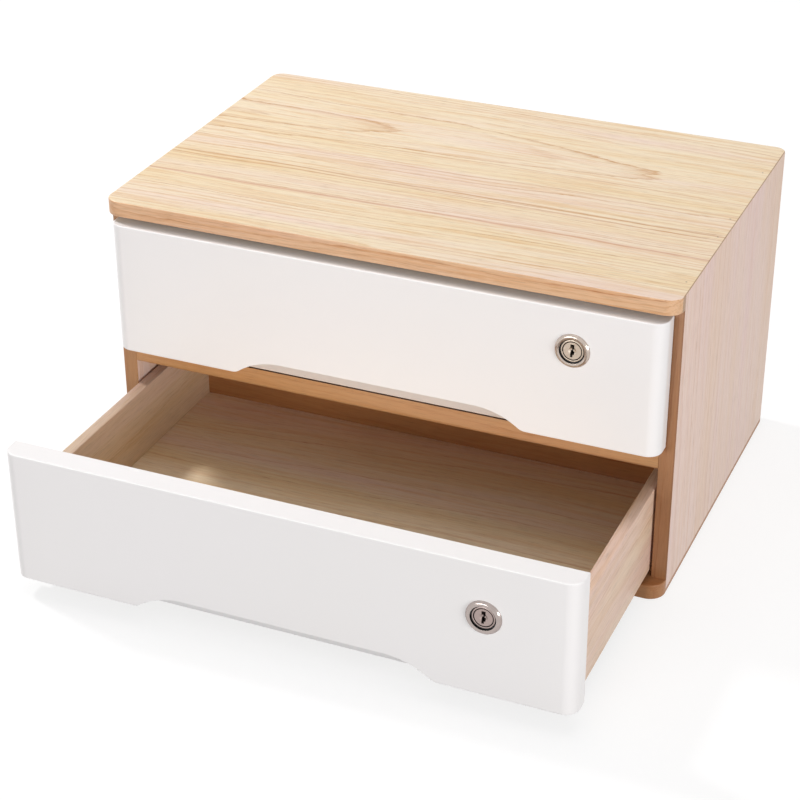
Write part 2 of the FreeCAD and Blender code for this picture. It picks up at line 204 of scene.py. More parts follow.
def math_node(tree, operation, first, second=0.0, third=None, clamp=False):
    """One step of arithmetic on numbers or sockets."""
    links = {0: first, 1: second} if third is None else {0: first, 1: second, 2: third}
    return add(tree, "ShaderNodeMath", links, operation=operation, use_clamp=clamp).outputs["Value"]


def vector(tree, operation, first, second):
    """One step of vector arithmetic."""
    return add(tree, "ShaderNodeVectorMath", {0: first, 1: second}, operation=operation).outputs["Vector"]


def mixed(tree, share, first, second, blend="MIX"):
    """Two colours mixed or blended by share."""
    return add(tree, "ShaderNodeMixRGB", {"Fac": share, "Color1": first, "Color2": second},
               blend_type=blend).outputs["Color"]


def apart(tree, first, second):
    """Distance between two places."""
    return add(tree, "ShaderNodeVectorMath", {0: first, 1: second}, operation="DISTANCE").outputs["Value"]


def on_piece(tree):
    """Place on the piece, in metres."""
    return add(tree, "ShaderNodeTexCoord").outputs["Object"]


def noise(tree, place, scale=1.0, detail=2.0, roughness=0.5, output="Fac"):
    """Noise over a place."""
    return add(tree, "ShaderNodeTexNoise", {"Vector": place, "Scale": scale, "Detail": detail,
                                            "Roughness": roughness}).outputs[output]


def noise_along(tree, number, detail):
    """Noise over one number."""
    return add(tree, "ShaderNodeTexNoise", {"W": number, "Scale": 1.0, "Detail": detail},
               noise_dimensions="1D").outputs["Fac"]


def spread(tree, value, low, high):
    """A noise's usual span, 0.3 to 0.7, carried over to the span from low to high."""
    return add(tree, "ShaderNodeMapRange", {"Value": value, "From Min": 0.3, "From Max": 0.7, "To Min": low,
                                            "To Max": high}).outputs["Result"]


def bumped(tree, height, strength, depth):
    """Normal of a surface with a fine relief, depth in metres."""
    return add(tree, "ShaderNodeBump", {"Height": height, "Strength": strength,
                                        "Distance": depth}).outputs["Normal"]


def surface(tree, tone, roughness, normal, more):
    """Principled shader on the material's output. more holds its further inputs."""
    shader = add(tree, "ShaderNodeBsdfPrincipled", {"Base Color": tone, "Roughness": roughness,
                                                    "Normal": normal, **more})
    add(tree, "ShaderNodeOutputMaterial", {"Surface": shader.outputs["BSDF"]})


# ---- Wood ----
GRAIN_TURN = {"x": (0.0, 0.0, 0.0), "y": (0.0, 0.0, -math.pi / 2), "z": (0.0, math.pi / 2, 0.0)}


def paulownia(name, grain, pith, shift=(0.0, 0.0, 0.0), ring_mm=4.5, tilt=(0.0, 0.0), cast=None,
              cast_share=1.0, line=1.0, wander=9.0, streaks=(), marks=(), seams=(), bands=1.0, roughness=0.46):
    """Paulownia board, planed, sanded and sealed with a thin satin lacquer: pale, straight-grained and light,
    with soft orange-yellow latewood lines broken up by vessel dashes, and pinkish and honey bands.
    Rings are cylinders round a pith that wanders and tilts: f = fract(distance to the pith / ring width).
    cast is a colour that multiplies cast_share of the wood, and bands is how strongly the broad bands show.
    A streak (across, half width, colour, share) follows the grain at that place across the board. A mark is a
    pin hole. A seam (axis, start, end, colour) is a thin glue line in part coordinates."""
    c = bpy.context.scene.cabinet_colours
    material, tree = new_material(name)
    place = on_piece(tree)
    turned = add(tree, "ShaderNodeMapping", {"Vector": place, "Rotation": GRAIN_TURN[grain],
                                             "Location": shift}).outputs["Vector"]
    mm = vector(tree, "MULTIPLY", turned, (1000.0, 1000.0, 1000.0))

    def grained(source, stretch, detail=2.0, roughness=0.5, output="Fac"):
        return noise(tree, vector(tree, "MULTIPLY", source, stretch), 1.0, detail, roughness, output)

    def times(first, second, clamp=False):
        return math_node(tree, "MULTIPLY", first, second, clamp=clamp)

    def stripe(under, where, middle, half, stops, tint):
        gap = math_node(tree, "ABSOLUTE", math_node(tree, "SUBTRACT", where, middle))
        return mixed(tree, ramp(tree, times(gap, 0.5 / half), stops), under, linear(tint))

    # the pith wanders over 20 to 30 cm of length, a ring ripples over a few centimetres, its edge is fibrous
    bent = mm
    for stretch, reach, detail in (((0.0032, 0.011, 0.011), wander * 3.0, 2.0), ((0.018, 0.09, 0.09), 3.2, 3.0),
                                   ((0.10, 0.9, 0.9), 1.5, 3.0)):
        drift = vector(tree, "SUBTRACT", grained(mm, stretch, detail, output="Color"), (0.5, 0.5, 0.5))
        bent = vector(tree, "ADD", bent, vector(tree, "MULTIPLY", drift, (0.0, reach, reach)))
    parts = add(tree, "ShaderNodeSeparateXYZ", {"Vector": bent}).outputs
    side = math_node(tree, "MULTIPLY_ADD", parts["X"], tilt[0], parts["Y"])
    rise = math_node(tree, "MULTIPLY_ADD", parts["X"], tilt[1], parts["Z"])
    section = add(tree, "ShaderNodeCombineXYZ", {"X": side, "Y": rise}).outputs["Vector"]
    radius = apart(tree, section, (pith[0], pith[1], 0.0))

    # good and lean years: the ring width swings over about ten rings
    years = noise_along(tree, times(radius, 0.03), 2.0)
    count = math_node(tree, "MULTIPLY_ADD", years, 5.0, times(radius, 1.0 / ring_mm))
    year = math_node(tree, "FLOOR", count)
    chance = add(tree, "ShaderNodeTexWhiteNoise", {"W": year}, noise_dimensions="1D").outputs["Value"]
    strength = ramp(tree, chance, [(0.0, 0.16), (0.6, 0.42), (1.0, 1.0)])
    late = ramp(tree, math_node(tree, "FRACT", count), [(0.0, 0.25), (0.09, 0.0), (0.6, 0.04), (0.84, 0.36),
                                                        (0.94, 1.0), (1.0, 0.55)])
    fade = grained(mm, (0.011, 0.06, 0.06))
    dashes = grained(mm, (0.085, 1.7, 1.7), 4.0, 0.62)
    lines = times(times(late, strength), ramp(tree, fade, [(0.3, 0.45), (0.6, 1.0)]))
    lines = times(lines, ramp(tree, dashes, [(0.32, 1.0), (0.68, 0.55)]))
    lines = times(lines, line, clamp=True)

    # broad bands, fine lines, single streaks, rings and vessel dashes
    broad = grained(mm, (0.0022, 0.030, 0.030), 2.0, 0.6)
    wood = ramp(tree, broad, [(0.32, linear(c.honey)), (0.50, linear(c.pale)), (0.68, linear(c.blush))])
    wood = mixed(tree, bands, linear(c.pale), wood)
    hair = grained(bent, (0.010, 0.42, 0.42), 3.0, 0.6)
    wood = mixed(tree, ramp(tree, hair, [(0.46, 0.0), (0.66, 0.42 * line)]), wood, linear(c.honey_line))
    for across, half, tint, share in streaks:
        wood = stripe(wood, side, across, half, [(0.15, share), (0.5, share * 0.4), (1.0, 0.0)], tint)
    wood = mixed(tree, lines, wood, linear(c.ring))
    wood = mixed(tree, 1.0, wood, ramp(tree, dashes, [(0.30, 0.78), (0.44, 0.95), (0.58, 1.0), (0.80, 1.04)]),
                 "MULTIPLY")
    if cast:
        wood = mixed(tree, cast_share, wood, linear(cast), "MULTIPLY")
    for spot in marks:
        gap = times(apart(tree, place, spot), 1000.0)
        wood = mixed(tree, ramp(tree, gap, [(0.0, 0.75), (0.45, 0.6), (0.75, 0.0)]), wood, linear(c.pin_hole))
    for axis, start, end, tint in seams:
        where = add(tree, "ShaderNodeSeparateXYZ", {"Vector": place}).outputs[axis.upper()]
        wood = stripe(wood, where, (start + end) / 2, abs(end - start) / 2, [(0.4, 0.8), (0.55, 0.0)], tint)
    relief = bumped(tree, math_node(tree, "MULTIPLY_ADD", lines, -0.4, dashes), 0.35, 0.00012)
    surface(tree, wood, spread(tree, dashes, roughness + 0.08, roughness - 0.05), relief,
            {"Coat Weight": 0.12, "Coat Roughness": 0.32})
    return material


# ---- Lacquer and metal ----
def white_lacquer():
    """Sprayed white satin lacquer: even, with a very slight orange peel of 2 to 3 mm and soft gloss."""
    c = bpy.context.scene.cabinet_colours
    material, tree = new_material("white_satin_lacquer")
    place = on_piece(tree)
    cloud = noise(tree, place, 7.0)
    tone = ramp(tree, cloud, [(0.3, linear(c.lacquer)), (0.7, linear(c.lacquer_cloud))])
    surface(tree, tone, spread(tree, cloud, 0.36, 0.42), bumped(tree, noise(tree, place, 420.0), 0.12, 0.00008),
            {"Coat Weight": 0.15, "Coat Roughness": 0.2})
    return material


def metal_surface(tree, hex_code, patch, place, share, roughness, relief):
    """Bare metal whose patches dull to a share of its brightness at a place on the noise's span."""
    dull = tuple(share * v for v in linear(hex_code)[:3]) + (1.0,)
    tone = ramp(tree, patch, [(0.3, linear(hex_code)), (place, dull)])
    surface(tree, tone, spread(tree, patch, *roughness), relief, {"Metallic": 1.0})


def turned_metal(name, hex_code, roughness, centre, pitch_mm=0.35, scratch=0.10):
    """Metal turned on a lathe: rings a fraction of a millimetre apart round the lock's axis give the shine a
    faint circular grain."""
    material, tree = new_material(name)
    place = on_piece(tree)
    flat = vector(tree, "MULTIPLY", vector(tree, "SUBTRACT", place, centre), (1000.0, 0.0, 1000.0))
    radius = add(tree, "ShaderNodeVectorMath", {0: flat}, operation="LENGTH").outputs["Value"]
    rings = noise_along(tree, math_node(tree, "MULTIPLY", radius, 1.0 / pitch_mm), 3.0)
    smear = noise(tree, place, 260.0, 3.0)
    metal_surface(tree, hex_code, smear, 0.75, 0.93, (roughness * 0.85, roughness * 1.2),
                  bumped(tree, rings, scratch, 0.00003))
    return material


def cast_metal(name, hex_code, roughness, grain_mm, depth):
    """Die-cast or zinc-plated metal: a fine, even grain with dull and brighter patches."""
    material, tree = new_material(name)
    place = on_piece(tree)
    grit = noise(tree, place, 1000.0 / grain_mm, 3.0)
    patch = noise(tree, place, 90.0, 3.0)
    metal_surface(tree, hex_code, patch, 0.7, 0.82, (roughness - 0.06, roughness + 0.08),
                  bumped(tree, grit, 0.3, depth))
    return material


# ---- Mesh code ----
def quads(rows, columns, wrap_rows, wrap_columns, start=0):
    """Index quads of a grid of rows x columns points, optionally closed either way."""
    r = np.arange(rows if wrap_rows else rows - 1)
    c = np.arange(columns if wrap_columns else columns - 1)
    r, c = np.meshgrid(r, c, indexing="ij")
    r2, c2 = (r + 1) % rows, (c + 1) % columns
    corners = np.stack([r * columns + c, r * columns + c2, r2 * columns + c2, r2 * columns + c], axis=-1)
    return (corners.reshape(-1, 4) + start).tolist()


def creased(mesh, degrees):
    """Shades a mesh smooth, with its edges sharper than the angle kept."""
    mesh.polygons.foreach_set("use_smooth", np.ones(len(mesh.polygons), dtype=bool))
    mesh.set_sharp_from_angle(angle=math.radians(degrees))


def solid_from(name, points, faces, crease=BOARD_CREASE):
    """Mesh object: doubles merged, normals outwards, edges sharper than crease kept."""
    mesh = bpy.data.meshes.new(name)
    mesh.from_pydata(points.reshape(-1, 3).tolist(), [], faces)
    work = bmesh.new()
    work.from_mesh(mesh)
    bmesh.ops.remove_doubles(work, verts=work.verts, dist=MERGE)
    bmesh.ops.dissolve_degenerate(work, edges=work.edges, dist=DEGENERATE)
    bmesh.ops.recalc_face_normals(work, faces=work.faces)
    work.to_mesh(mesh)
    work.free()
    creased(mesh, crease)
    mesh.validate()
    piece = bpy.data.objects.new(name, mesh)
    bpy.context.scene.collection.objects.link(piece)
    return piece


def set_up(piece, material, body, replaced=()):
    """Gives a piece its material and body, and hides the CAD nodes it stands for."""
    piece.data.materials.clear()
    piece.data.materials.append(material)
    if replaced:
        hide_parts(*replaced)
    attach(piece, body)
    return piece


def face_values(piece, key):
    """A vector for each face of a piece: its normal or its center."""
    values = np.empty(len(piece.data.polygons) * 3)
    piece.data.polygons.foreach_get(key, values)
    return values.reshape(-1, 3)


def looks_forward(piece):
    """Faces that look forward, the easing of the front edges included."""
    return face_values(piece, "normal")[:, 1] < FORWARD


def second_finish(piece, material, chosen):
    """Puts the chosen faces of a piece in a second material."""
    piece.data.materials.append(material)
    piece.data.polygons.foreach_set("material_index", chosen.astype(np.int32))


def paint_node(node, material):
    """Gives a CAD node its material."""
    target = frame["nodes"][node]
    if not target.material_slots:
        target.data.materials.append(material)
    for held in target.material_slots:
        held.material = material
    return target


def rounded(corners, radii, steps):
    """Closed outline with circular corners of steps + 1 points. Each corner is a rational quadratic arc between
    its tangent points: ((1-k)^2 S + 2 w k (1-k) P + k^2 E) / ((1-k)^2 + 2 w k (1-k) + k^2), where w is the
    cosine of half the turn."""
    p = np.asarray(corners, dtype=float)
    r = np.asarray(radii, dtype=float)[:, None]
    back = np.roll(p, 1, axis=0) - p
    ahead = np.roll(p, -1, axis=0) - p
    back /= np.linalg.norm(back, axis=1, keepdims=True)
    ahead /= np.linalg.norm(ahead, axis=1, keepdims=True)
    half = np.arccos(np.clip((back * ahead).sum(1, keepdims=True), -1, 1)) / 2
    run = r / np.tan(half)
    weight = np.sin(half)
    k = np.linspace(0, 1, steps + 1)[None, :, None]
    s, e, mid = (p + back * run)[:, None], (p + ahead * run)[:, None], p[:, None]
    w = weight[:, None]
    top = (1 - k) ** 2 * s + 2 * w * k * (1 - k) * mid + k ** 2 * e
    return (top / ((1 - k) ** 2 + 2 * w * k * (1 - k) + k ** 2)).reshape(-1, 2)


def loft(name, rings, split=None):
    """Solid through closed rings, rows x points x 3, with flat caps. split marks the first ring's points on
    either side of a fold, where that cap is two flat faces."""
    rows, columns = rings.shape[:2]
    faces = quads(rows, columns, False, True)
    last = (rows - 1) * columns
    faces.append([last + i for i in range(columns)])
    if split is None:
        faces.append(list(range(columns))[::-1])
    else:
        low, high = split
        faces.append(np.flatnonzero(low)[::-1].tolist())
        faces.append(np.flatnonzero(high)[::-1].tolist())
    return solid_from(name, rings, faces)


def arc_profile(e, steps=4):
    """Quarter-round easing as (inset, depth) pairs, from the flat to the wall, with a flat lead-in."""
    a = np.linspace(0, math.pi / 2, steps + 1)
    inset, depth = e * (1 - np.sin(a)), e * (1 - np.cos(a))
    return np.r_[e * 2, inset], np.r_[0.0, depth]


# ---- Carcass boards ----
def capped_board(name, node, upward):
    """Top or bottom board. Ring: the rounded plan, set in by the arris profile. Rows: the profile from one face
    to the other. Behind the side panels' front edges each row is cut back to the mitre: |x| is at most the half
    width less the height past the mitre's start."""
    sizes = bpy.context.scene.cabinet_sizes
    low, high = (np.array(v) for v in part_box(node))
    side_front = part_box("right_side_panel")[0][1]
    thick = high[2] - low[2]
    inset, depth = arc_profile(sizes.arris)
    start = sizes.toe if upward else 0.0
    middle = [start] if upward else []
    insets = np.r_[inset, np.zeros(1 + len(middle)), 0.0, inset[::-1]]
    depths = np.r_[depth, sizes.arris * 2, middle, thick - sizes.arris * 2, thick - depth[::-1]]

    steps = 10
    n = steps + 1  # points on a corner, in the order front right, rear right, rear left, front left

    def plan(d):
        right, left, front, rear = high[0] - d, low[0] + d, low[1] + d, high[1] - d
        radii = [sizes.board_corner - d, sizes.rear_corner - d, sizes.rear_corner - d, sizes.board_corner - d]
        outline = rounded([(right, front), (right, rear), (left, rear), (left, front)], radii, steps)
        joint = [np.array([[x, side_front]] * 2) for x in (right, left)]
        return np.concatenate([outline[:n], joint[0], outline[n:3 * n], joint[1], outline[3 * n:]])

    jointed = np.r_[np.zeros(n), 0, 1, np.ones(2 * n), 1, 0, np.zeros(n)].astype(bool)
    plans = np.stack([plan(d) for d in insets])
    reach = high[0] - np.maximum(depths - start, 0.0)[:, None]
    x = np.where(jointed[None, :], np.clip(plans[..., 0], -reach, reach), plans[..., 0])
    z = (low[2] + depths if upward else high[2] - depths)[:, None] + np.zeros_like(x)
    return loft(name, np.stack([x, plans[..., 1], z], axis=-1))


def with_crossings(outline, x):
    """The outline with a point added wherever a side crosses the given x: start + share x side."""
    side = np.roll(outline, -1, axis=0) - outline
    share = (x - outline[:, 0]) / np.where(side[:, 0] == 0.0, np.inf, side[:, 0])
    tiny = 1e-6
    crossed = (share > tiny) & (share < 1.0 - tiny)
    return np.insert(outline, np.flatnonzero(crossed) + 1, (outline + share[:, None] * side)[crossed], axis=0)


def side_board(name, node):
    """Upright side panel. Ring: the plan with a rounded outer rear corner. Rows: from the lower mitre to the
    upper one, each ring's height following the mitres: z = top - (half width - |x|)."""
    sizes = bpy.context.scene.cabinet_sizes
    low, high = (np.array(v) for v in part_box(node))
    sign = 1.0 if high[0] > 0 else -1.0
    outer, inner = (high[0], low[0]) if sign > 0 else (-low[0], -high[0])
    board_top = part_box("bottom_panel")[1][2]
    fold = outer - (board_top - sizes.toe)

    def plan(d):
        corners = [(inner + d, low[1] + d), (outer - d, low[1] + d), (outer - d, high[1] - d),
                   (inner + d, high[1] - d)]
        radii = [sizes.arris, sizes.arris, sizes.rear_corner - d, sizes.arris]
        return with_crossings(rounded(corners, radii, 8), fold)

    ease = sizes.arris * 0.35
    walls, ends = plan(0.0), plan(ease)
    under, over = (np.minimum(sizes.toe + outer - xy[:, 0], board_top) for xy in (ends, walls))
    rows = [(ends, under), (walls, over + ease), (walls, high[2] - outer + walls[:, 0] - sizes.arris),
            (ends, high[2] - outer + ends[:, 0])]
    rings = np.stack([np.column_stack([sign * xy[:, 0], xy[:, 1], z]) for xy, z in rows])
    slack = 1e-7
    return loft(name, rings, (ends[:, 0] >= fold - slack, ends[:, 0] <= fold + slack))


def extruded(name, section, radii, axis, start, end, steps=5):
    """Straight piece: a rounded outline across, carried from start to end along the x or y axis."""
    outline = rounded(section, radii, steps)
    rings = []
    for station in (start, end):
        rings.append(np.insert(outline, 0 if axis == "x" else 1, station, axis=1))
    return loft(name, np.stack(rings))


def rail_step():
    """Depth and lower edge of the step that leaves a gap behind the upper front; the step's faces are painted
    dark as the gap's shade.
    """
    sizes = bpy.context.scene.cabinet_sizes
    return (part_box("divider_rail")[0][1] + sizes.rail_step,
            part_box("upper_drawer_front")[0][2] - sizes.rail_gap)


def divider_rail():
    """Front rail: an L-shaped section with a ledge for the divider, a rounded lower front edge and the step."""
    sizes = bpy.context.scene.cabinet_sizes
    low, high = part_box("divider_rail")
    ledge_y, ledge_z = high[1] - sizes.rail_rabbet, high[2] - sizes.rail_ledge
    step_y, step_z = rail_step()
    section = [(low[1], low[2]), (high[1], low[2]), (high[1], ledge_z), (ledge_y, ledge_z), (ledge_y, high[2]),
               (step_y, high[2]), (step_y, step_z), (low[1], step_z)]
    e = sizes.arris
    radii = [sizes.rail_round, e, e / 2, e / 3, e / 2, e, e / 3, e / 2]
    return extruded("rail", section, radii, "x", low[0], high[0])


# ---- Drawers ----
def notch_height(x):
    """Height of the finger notch at x: flat in the middle, a circle of the end radius falling away from it,
    then a small circle the other way that meets the lower edge level."""
    sizes = bpy.context.scene.cabinet_sizes
    rise, end, toe = sizes.notch_rise, sizes.notch_end, sizes.notch_toe
    flat = sizes.notch_half - math.sqrt(end ** 2 - (end - rise) ** 2)
    foot = flat + math.sqrt((end + toe) ** 2 - (toe + end - rise) ** 2)
    meet = flat + (foot - flat) * end / (end + toe)
    away = np.abs(x)
    curve = rise - end + np.sqrt(np.maximum(end ** 2 - np.clip(away - flat, 0, end) ** 2, 0))
    small = toe - np.sqrt(np.maximum(toe ** 2 - np.clip(foot - away, 0, toe) ** 2, 0))
    return np.where(away <= meet, curve, small), (flat, meet, foot)


def drawer_front(name, node, lock):
    """Overlay front. Stations run along the plan outline: up one end, round its corner, across the face, round
    the other corner and down the other end. Rows run from the top over the rounded arris, down the face, over
    the notch's edge, along its bevelled roof, and back up the rear face at the same heights."""
    sizes = bpy.context.scene.cabinet_sizes
    low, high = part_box(node)
    r, e = sizes.front_corner, sizes.front_arris
    flat, meet, foot = notch_height(np.zeros(1))[1]
    plain = foot + 0.001  # where the lower edge is straight again
    half = np.r_[0.0, np.linspace(0, flat, 4)[1:], np.linspace(flat, meet, 16)[1:],
                 np.linspace(meet, foot, 9)[1:], plain, np.linspace(plain, high[0] - r, 5)[1:-1]]
    turn = np.linspace(0, math.pi / 2, 13)
    end_x, end_y = high[0] - r + r * np.sin(turn), low[1] + r - r * np.cos(turn)
    x = np.r_[half, end_x, high[0]]
    y = np.r_[np.full(len(half), low[1]), end_y, high[1]]
    nx = np.r_[np.zeros(len(half)), np.sin(turn), 1.0]
    ny = np.r_[-np.ones(len(half)), -np.cos(turn), 0.0]
    x, y = np.r_[-x[:0:-1], x], np.r_[y[:0:-1], y]
    nx, ny = np.r_[-nx[:0:-1], nx], np.r_[ny[:0:-1], ny]

    # the arris fades to a quarter over the first 2 mm of the notch's rise
    h = notch_height(x)[0]
    small = e * np.where(h > 0, np.maximum(0.25, 1 - h / 0.002), 1.0)
    inset, depth = arc_profile(1.0)
    top_d, top_z = inset * e, high[2] - depth * e
    rows_d = [np.full_like(x, d) for d in top_d] + [np.zeros_like(x)] * 2
    rows_z = [np.full_like(x, z) for z in top_z] + [np.full_like(x, high[2] - 2 * e), low[2] + h + 2 * small]
    for d, up in zip(inset[:0:-1], depth[:0:-1]):
        rows_d.append(d * small)
        rows_z.append(low[2] + h + up * small)
    d, z = np.stack(rows_d), np.stack(rows_z)
    px, py = x - d * nx, y - d * ny
    roof_y = low[1] + sizes.notch_depth * (1 - h / sizes.notch_rise)
    roof = np.maximum(py[-1], roof_y), np.maximum(py[-1], low[1] + sizes.notch_depth)
    px = np.vstack([px, px[-1], px[-1]])
    py = np.vstack([py, roof[0], roof[1]])
    z = np.vstack([z, low[2] + h, np.full_like(x, low[2])])
    back_z = z[:, :1] + np.zeros_like(z)
    front_rows = np.stack([px, py, z], axis=-1)
    back_rows = np.stack([px, np.full_like(px, high[1]), back_z], axis=-1)
    grid = np.concatenate([front_rows, back_rows[::-1]])
    piece = solid_from(name, grid, quads(grid.shape[0], grid.shape[1], True, False), FRONT_CREASE)
    ahead, behind = -0.002, 0.02  # the bore's tool reaches past both faces
    bore = turned_solid("bore", [(0.0, ahead), (sizes.barrel, ahead), (sizes.barrel, behind), (0.0, behind)],
                        (lock[0], low[1], lock[2]), 96)
    return cut(piece, bore)


def cut(piece, tool):
    """Takes one solid out of another and keeps the result as plain mesh."""
    step = piece.modifiers.new("cut", "BOOLEAN")
    step.operation, step.solver, step.object = "DIFFERENCE", "EXACT", tool
    shape = bpy.data.meshes.new_from_object(piece.evaluated_get(bpy.context.evaluated_depsgraph_get()))
    piece.modifiers.clear()
    piece.data = shape
    bpy.data.objects.remove(tool)
    creased(shape, FRONT_CREASE)
    return piece


# a grooved section's corner radii: the arris at its four outer corners, sharp at the groove's four
GROOVE_RADII = np.array([1, 1, 1, 0, 0, 0, 0, 1])
GROOVE_SHARP = (1 - GROOVE_RADII) * SHARP


def grooved_side(name, node):
    """Drawer side: a section with the floor's groove on its inner face, carried along y. Past the groove's end
    the section is plain, so its groove points move out to the inner face."""
    sizes = bpy.context.scene.cabinet_sizes
    low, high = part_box(node)
    right = high[0] > 0
    inner, outer = (low[0], high[0]) if right else (high[0], low[0])
    deep = inner + (sizes.floor_housing if right else -sizes.floor_housing)
    g0 = low[2] + sizes.floor_raise
    g1 = g0 + sizes.floor_thick
    e = sizes.arris
    groove_end = high[1] - sizes.box_back + sizes.floor_housing

    def ring(y, depth_x):
        flat = rounded([(outer, low[2]), (outer, high[2]), (inner, high[2]), (inner, g1), (depth_x, g1),
                        (depth_x, g0), (inner, g0), (inner, low[2])], GROOVE_RADII * e + GROOVE_SHARP, 4)
        return np.column_stack([flat[:, 0], np.full(len(flat), y), flat[:, 1]])

    plain = ring(high[1], deep)
    inside = np.abs(plain[:, 0] - outer) < abs(inner - outer)
    beside = (plain[:, 2] > g0 - NEAR) & (plain[:, 2] < g1 + NEAR)
    filled = np.where(beside & inside, inner, plain[:, 0])
    rings = [ring(low[1], deep), ring(groove_end, deep)]
    for y in (groove_end, high[1]):
        rings.append(np.column_stack([filled, np.full(len(filled), y), plain[:, 2]]))
    return loft(name, np.stack(rings))


def grooved_back(name, node):
    """Drawer back: a section with the floor's groove on its front face, carried along x."""
    sizes = bpy.context.scene.cabinet_sizes
    low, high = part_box(node)
    g0 = low[2] + sizes.floor_raise
    g1 = g0 + sizes.floor_thick
    deep = low[1] + sizes.floor_housing
    e = sizes.arris
    section = [(high[1], low[2]), (high[1], high[2]), (low[1], high[2]), (low[1], g1), (deep, g1), (deep, g0),
               (low[1], g0), (low[1], low[2])]
    return extruded(name, section, GROOVE_RADII * e + GROOVE_SHARP, "x", low[0], high[0], 4)


# ---- Locks ----
def lock_centre(name):
    """Point on a lock's axis at the drawer's face, from the escutcheon's box."""
    low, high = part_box(name + "_lock_escutcheon")
    return (low[0] + high[0]) / 2, high[1], (low[2] + high[2]) / 2


def turned_solid(name, profile, centre, segments, closed=False):
    """Surface of revolution about y: each (radius, depth) point of the profile goes round the centre."""
    p = np.asarray(profile, dtype=float)
    a = np.linspace(0, 2 * math.pi, segments, endpoint=False)
    x = centre[0] + p[:, :1] * np.cos(a)
    z = centre[2] + p[:, :1] * np.sin(a)
    y = centre[1] + p[:, 1:] + np.zeros_like(x)
    return solid_from(name, np.stack([x, y, z], axis=-1), quads(len(p), segments, closed, True),
                      TURNED_CREASE)


def escutcheon(name, centre):
    """Nickel ring: rounded rim up to the crown, a shallow dish down to the bore, soft lip. A corner is (radius,
    depth behind the drawer's face), negative where it stands proud, and each has its rounding."""
    corners = [(0.011, 0.0), (0.011, -0.0006), (0.0097, -0.0018), (0.0079, -0.00155), (0.0079, 0.0)]
    outline = rounded(corners, [0.0001, 0.0009, 0.0014, 0.0001, 0.0001], 9)
    return turned_solid(name, outline, centre, 128, closed=True)


def lock_plug(name, node, centre):
    """Plug: rimmed head with a fine groove inside the rim, warded keyway and shank. The profile runs from the
    middle of the dished face out over the groove and the rim, then back to the shank."""
    centre = (centre[0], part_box(node)[0][1], centre[2])
    end = shank_end(node)
    profile = [(0.0, 0.0011), (0.0012, 0.0011), (0.0025, 0.0003), (0.0056, 0.0003), (0.0057, 0.0010),
               (0.0061, 0.0010), (0.0062, 0.0002), (0.0063, 0.00005), (0.0065, 0.0), (0.0069, 0.0),
               (0.0071, 0.0001), (0.0072, 0.0003), (0.0072, 0.0012), (0.0076, 0.0012), (0.0076, 0.0016),
               (SHANK_RADIUS, 0.0016), (SHANK_RADIUS, end), (0.0, end)]
    plug = turned_solid(name, profile, centre, 128)
    # the warded keyway, as shares of its half width and half height
    shares = [(-1, -1), (0.2, -1), (0.2, -0.62), (1, -0.62), (1, -0.12), (0.35, -0.12), (0.35, 0.18), (1, 0.18),
              (1, 1), (-1, 1), (-1, 0.45), (-0.35, 0.45), (-0.35, 0.02), (-1, 0.02)]
    flat = np.array(shares) * (KEYWAY_HALF_WIDTH, KEYWAY_HALF_HEIGHT)
    rings = np.stack([np.column_stack([centre[0] + flat[:, 0], np.full(len(flat), centre[1] + y),
                                       centre[2] + flat[:, 1]]) for y in (-0.001, KEYWAY_DEPTH)])
    return cut(plug, loft("keyway", rings))


def ring_of_faces(piece, centre, radii):
    """Faces whose middle lies between two radii round the lock's axis."""
    at = face_values(piece, "center")
    away = np.hypot(at[:, 0] - centre[0], at[:, 2] - centre[2])
    return (away > radii[0]) & (away < radii[1])


def keyway_walls(piece, centre):
    """Faces inside the keyway, from just under the head's face to its depth."""
    down = face_values(piece, "center")[:, 1] - centre[1]
    within = (down > KEYWAY_TOP) & (down < KEYWAY_DEPTH + NEAR)
    return ring_of_faces(piece, centre, (0.0, KEYWAY_REACH)) & within


def mortised(board, bolt, slide):
    """Takes the pocket for a bolt out of the board over it: the bolt's box where it stands when its drawer is
    closed, with play all round, raised by the bolt's throw."""
    sizes = bpy.context.scene.cabinet_sizes
    low, high = (np.array(v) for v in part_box(bolt))
    shut = -min(JOINTS[slide]["range_m"][0], 0.0)
    play = np.array([sizes.mortise_play, sizes.mortise_play])
    x, y = np.array([low[:2] - play, high[:2] + play]).T
    y = y + shut
    top = high[2] + JOINTS[bolt.replace("_lock_bolt", "_bolt_lift")]["range_m"][1] + sizes.mortise_play
    plan = np.array([(x[0], y[0]), (x[1], y[0]), (x[1], y[1]), (x[0], y[1])])
    rings = np.stack([np.insert(plan, 2, z, axis=1) for z in (low[2], top)])
    return cut(board, loft("mortise", rings))


def shank_end(node):
    """Depth of the shank behind the plug's face, up to the crank pin."""
    low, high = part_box(node)
    return high[1] - low[1] - CRANK_LENGTH


def crank_pin(name, node, centre):
    """Eccentric pin on the plug's rear end, with a small bevel."""
    low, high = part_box(node)
    start = low[1] + shank_end(node)
    run = high[1] - start
    profile = [(0.0, 0.0), (CRANK_RADIUS, 0.0), (CRANK_RADIUS, run - CRANK_BEVEL),
               (CRANK_RADIUS - CRANK_BEVEL, run), (0.0, run)]
    return turned_solid(name, profile, (centre[0], start, centre[2] - CRANK_THROW), 48)


